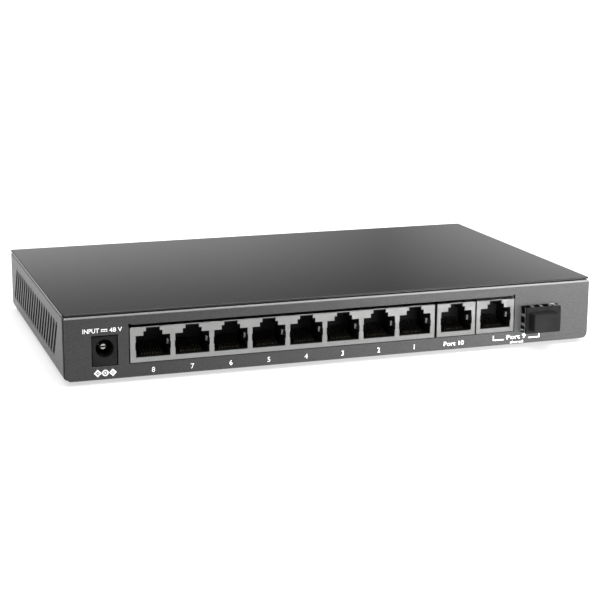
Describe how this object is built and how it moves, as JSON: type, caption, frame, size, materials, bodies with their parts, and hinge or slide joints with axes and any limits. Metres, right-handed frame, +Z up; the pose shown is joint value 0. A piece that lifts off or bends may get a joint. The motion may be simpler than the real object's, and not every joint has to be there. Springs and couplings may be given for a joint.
{
  "type": "desktop network switch",
  "caption": "Flat steel desktop network switch with a row of shielded jacks, a plugged module bay, a barrel power inlet and slanted side vents.",
  "frame": {"origin": "centre of the whole object's footprint, dust plug and rear knobs included, on the plane of the feet", "axes": "+X to the right seen from the port side, +Y from the port side to the rear, +Z up"},
  "size_m": [0.209, 0.1352, 0.026],
  "materials": {
    "board_laminate": "solder-resist gloss over glass laminate",
    "cage_nickel": "plated sheet, satin",
    "capacitor_can": "drawn can, satin",
    "case_paint": "fine sand-textured paint, low sheen",
    "ceramic_body": "fired ceramic, dull",
    "chip_plastic": "moulding compound, dull",
    "clear_plastic": "clear moulding",
    "contact_gold": "gold plated",
    "cover_paint": "smooth semi-gloss paint",
    "ferrite": "sintered ferrite, dull",
    "foot_rubber": "matt",
    "inlet_pin": "nickel plated",
    "inlet_plastic": "moulded, satin",
    "insert_plastic": "glass-filled moulding, dull",
    "jack_nickel": "bright nickel-plated sheet",
    "knob_plastic": "moulded, satin",
    "lamp_resin": "clear resin",
    "plug_rubber": "moulded, satin",
    "screw_steel": "nickel plated, satin",
    "sink_aluminium": "black anodised, satin",
    "thermal_pad": "soft silicone",
    "zinc_steel": "zinc plated, dull"
  },
  "bodies": {
    "case": {"bulk_capacitors": "capacitor_can", "ceramic_capacitors": "ceramic_body", "chassis_tray": "case_paint", "cover_screws": "screw_steel", "cover_tabs": "zinc_steel", "crystal": "screw_steel", "dc_jack_housing": "inlet_plastic", "dc_jack_pin": "inlet_pin", "dc_jack_spring": "inlet_pin", "heat_sink": "sink_aluminium", "indicator_leds": "lamp_resin", "input_choke": "ferrite", "input_fuse": "ceramic_body", "jack_contacts_10": "contact_gold", "jack_contacts_8port": "contact_gold", "jack_contacts_9": "contact_gold", "jack_insert_1": "insert_plastic", "jack_insert_10": "insert_plastic", "jack_insert_2": "insert_plastic", "jack_insert_3": "insert_plastic", "jack_insert_4": "insert_plastic", "jack_insert_5": "insert_plastic", "jack_insert_6": "insert_plastic", "jack_insert_7": "insert_plastic", "jack_insert_8": "insert_plastic", "jack_insert_9": "insert_plastic", "jack_shield_10": "jack_nickel", "jack_shield_8port": "jack_nickel", "jack_shield_9": "jack_nickel", "lan_transformers": "chip_plastic", "light_pipe": "clear_plastic", "main_pcb": "board_laminate", "mode_switch_housings": "cage_nickel", "pcb_screws": "screw_steel", "pcb_standoffs": "screw_steel", "phy_chips": "chip_plastic", "poe_controllers": "chip_plastic", "power_inductors": "ferrite", "power_mosfets": "chip_plastic", "regulator_chips": "chip_plastic", "rubber_feet": "foot_rubber", "sfp_cage": "cage_nickel", "sfp_connector": "insert_plastic", "sfp_connector_contacts": "contact_gold", "sfp_emi_collar": "cage_nickel", "switch_chip": "chip_plastic", "thermal_pad": "thermal_pad", "top_cover": "cover_paint"},
    "dust_plug": {"sfp_dust_plug": "plug_rubber"},
    "mode_knob_1": {"mode_switch_knob_1": "knob_plastic"},
    "mode_knob_2": {"mode_switch_knob_2": "knob_plastic"},
    "mode_knob_3": {"mode_switch_knob_3": "knob_plastic"}
  },
  "joints": [
    {"name": "dust_plug_slide", "type": "slide", "parent": "case", "child": "dust_plug", "axis": [0, -1, 0], "range_m": [0, 0.015]},
    {"name": "mode_slide_1", "type": "slide", "parent": "case", "child": "mode_knob_1", "axis": [1, 0, 0], "range_m": [0, 0.002]},
    {"name": "mode_slide_2", "type": "slide", "parent": "case", "child": "mode_knob_2", "axis": [1, 0, 0], "range_m": [0, 0.002]},
    {"name": "mode_slide_3", "type": "slide", "parent": "case", "child": "mode_knob_3", "axis": [1, 0, 0], "range_m": [0, 0.002]}
  ]
}
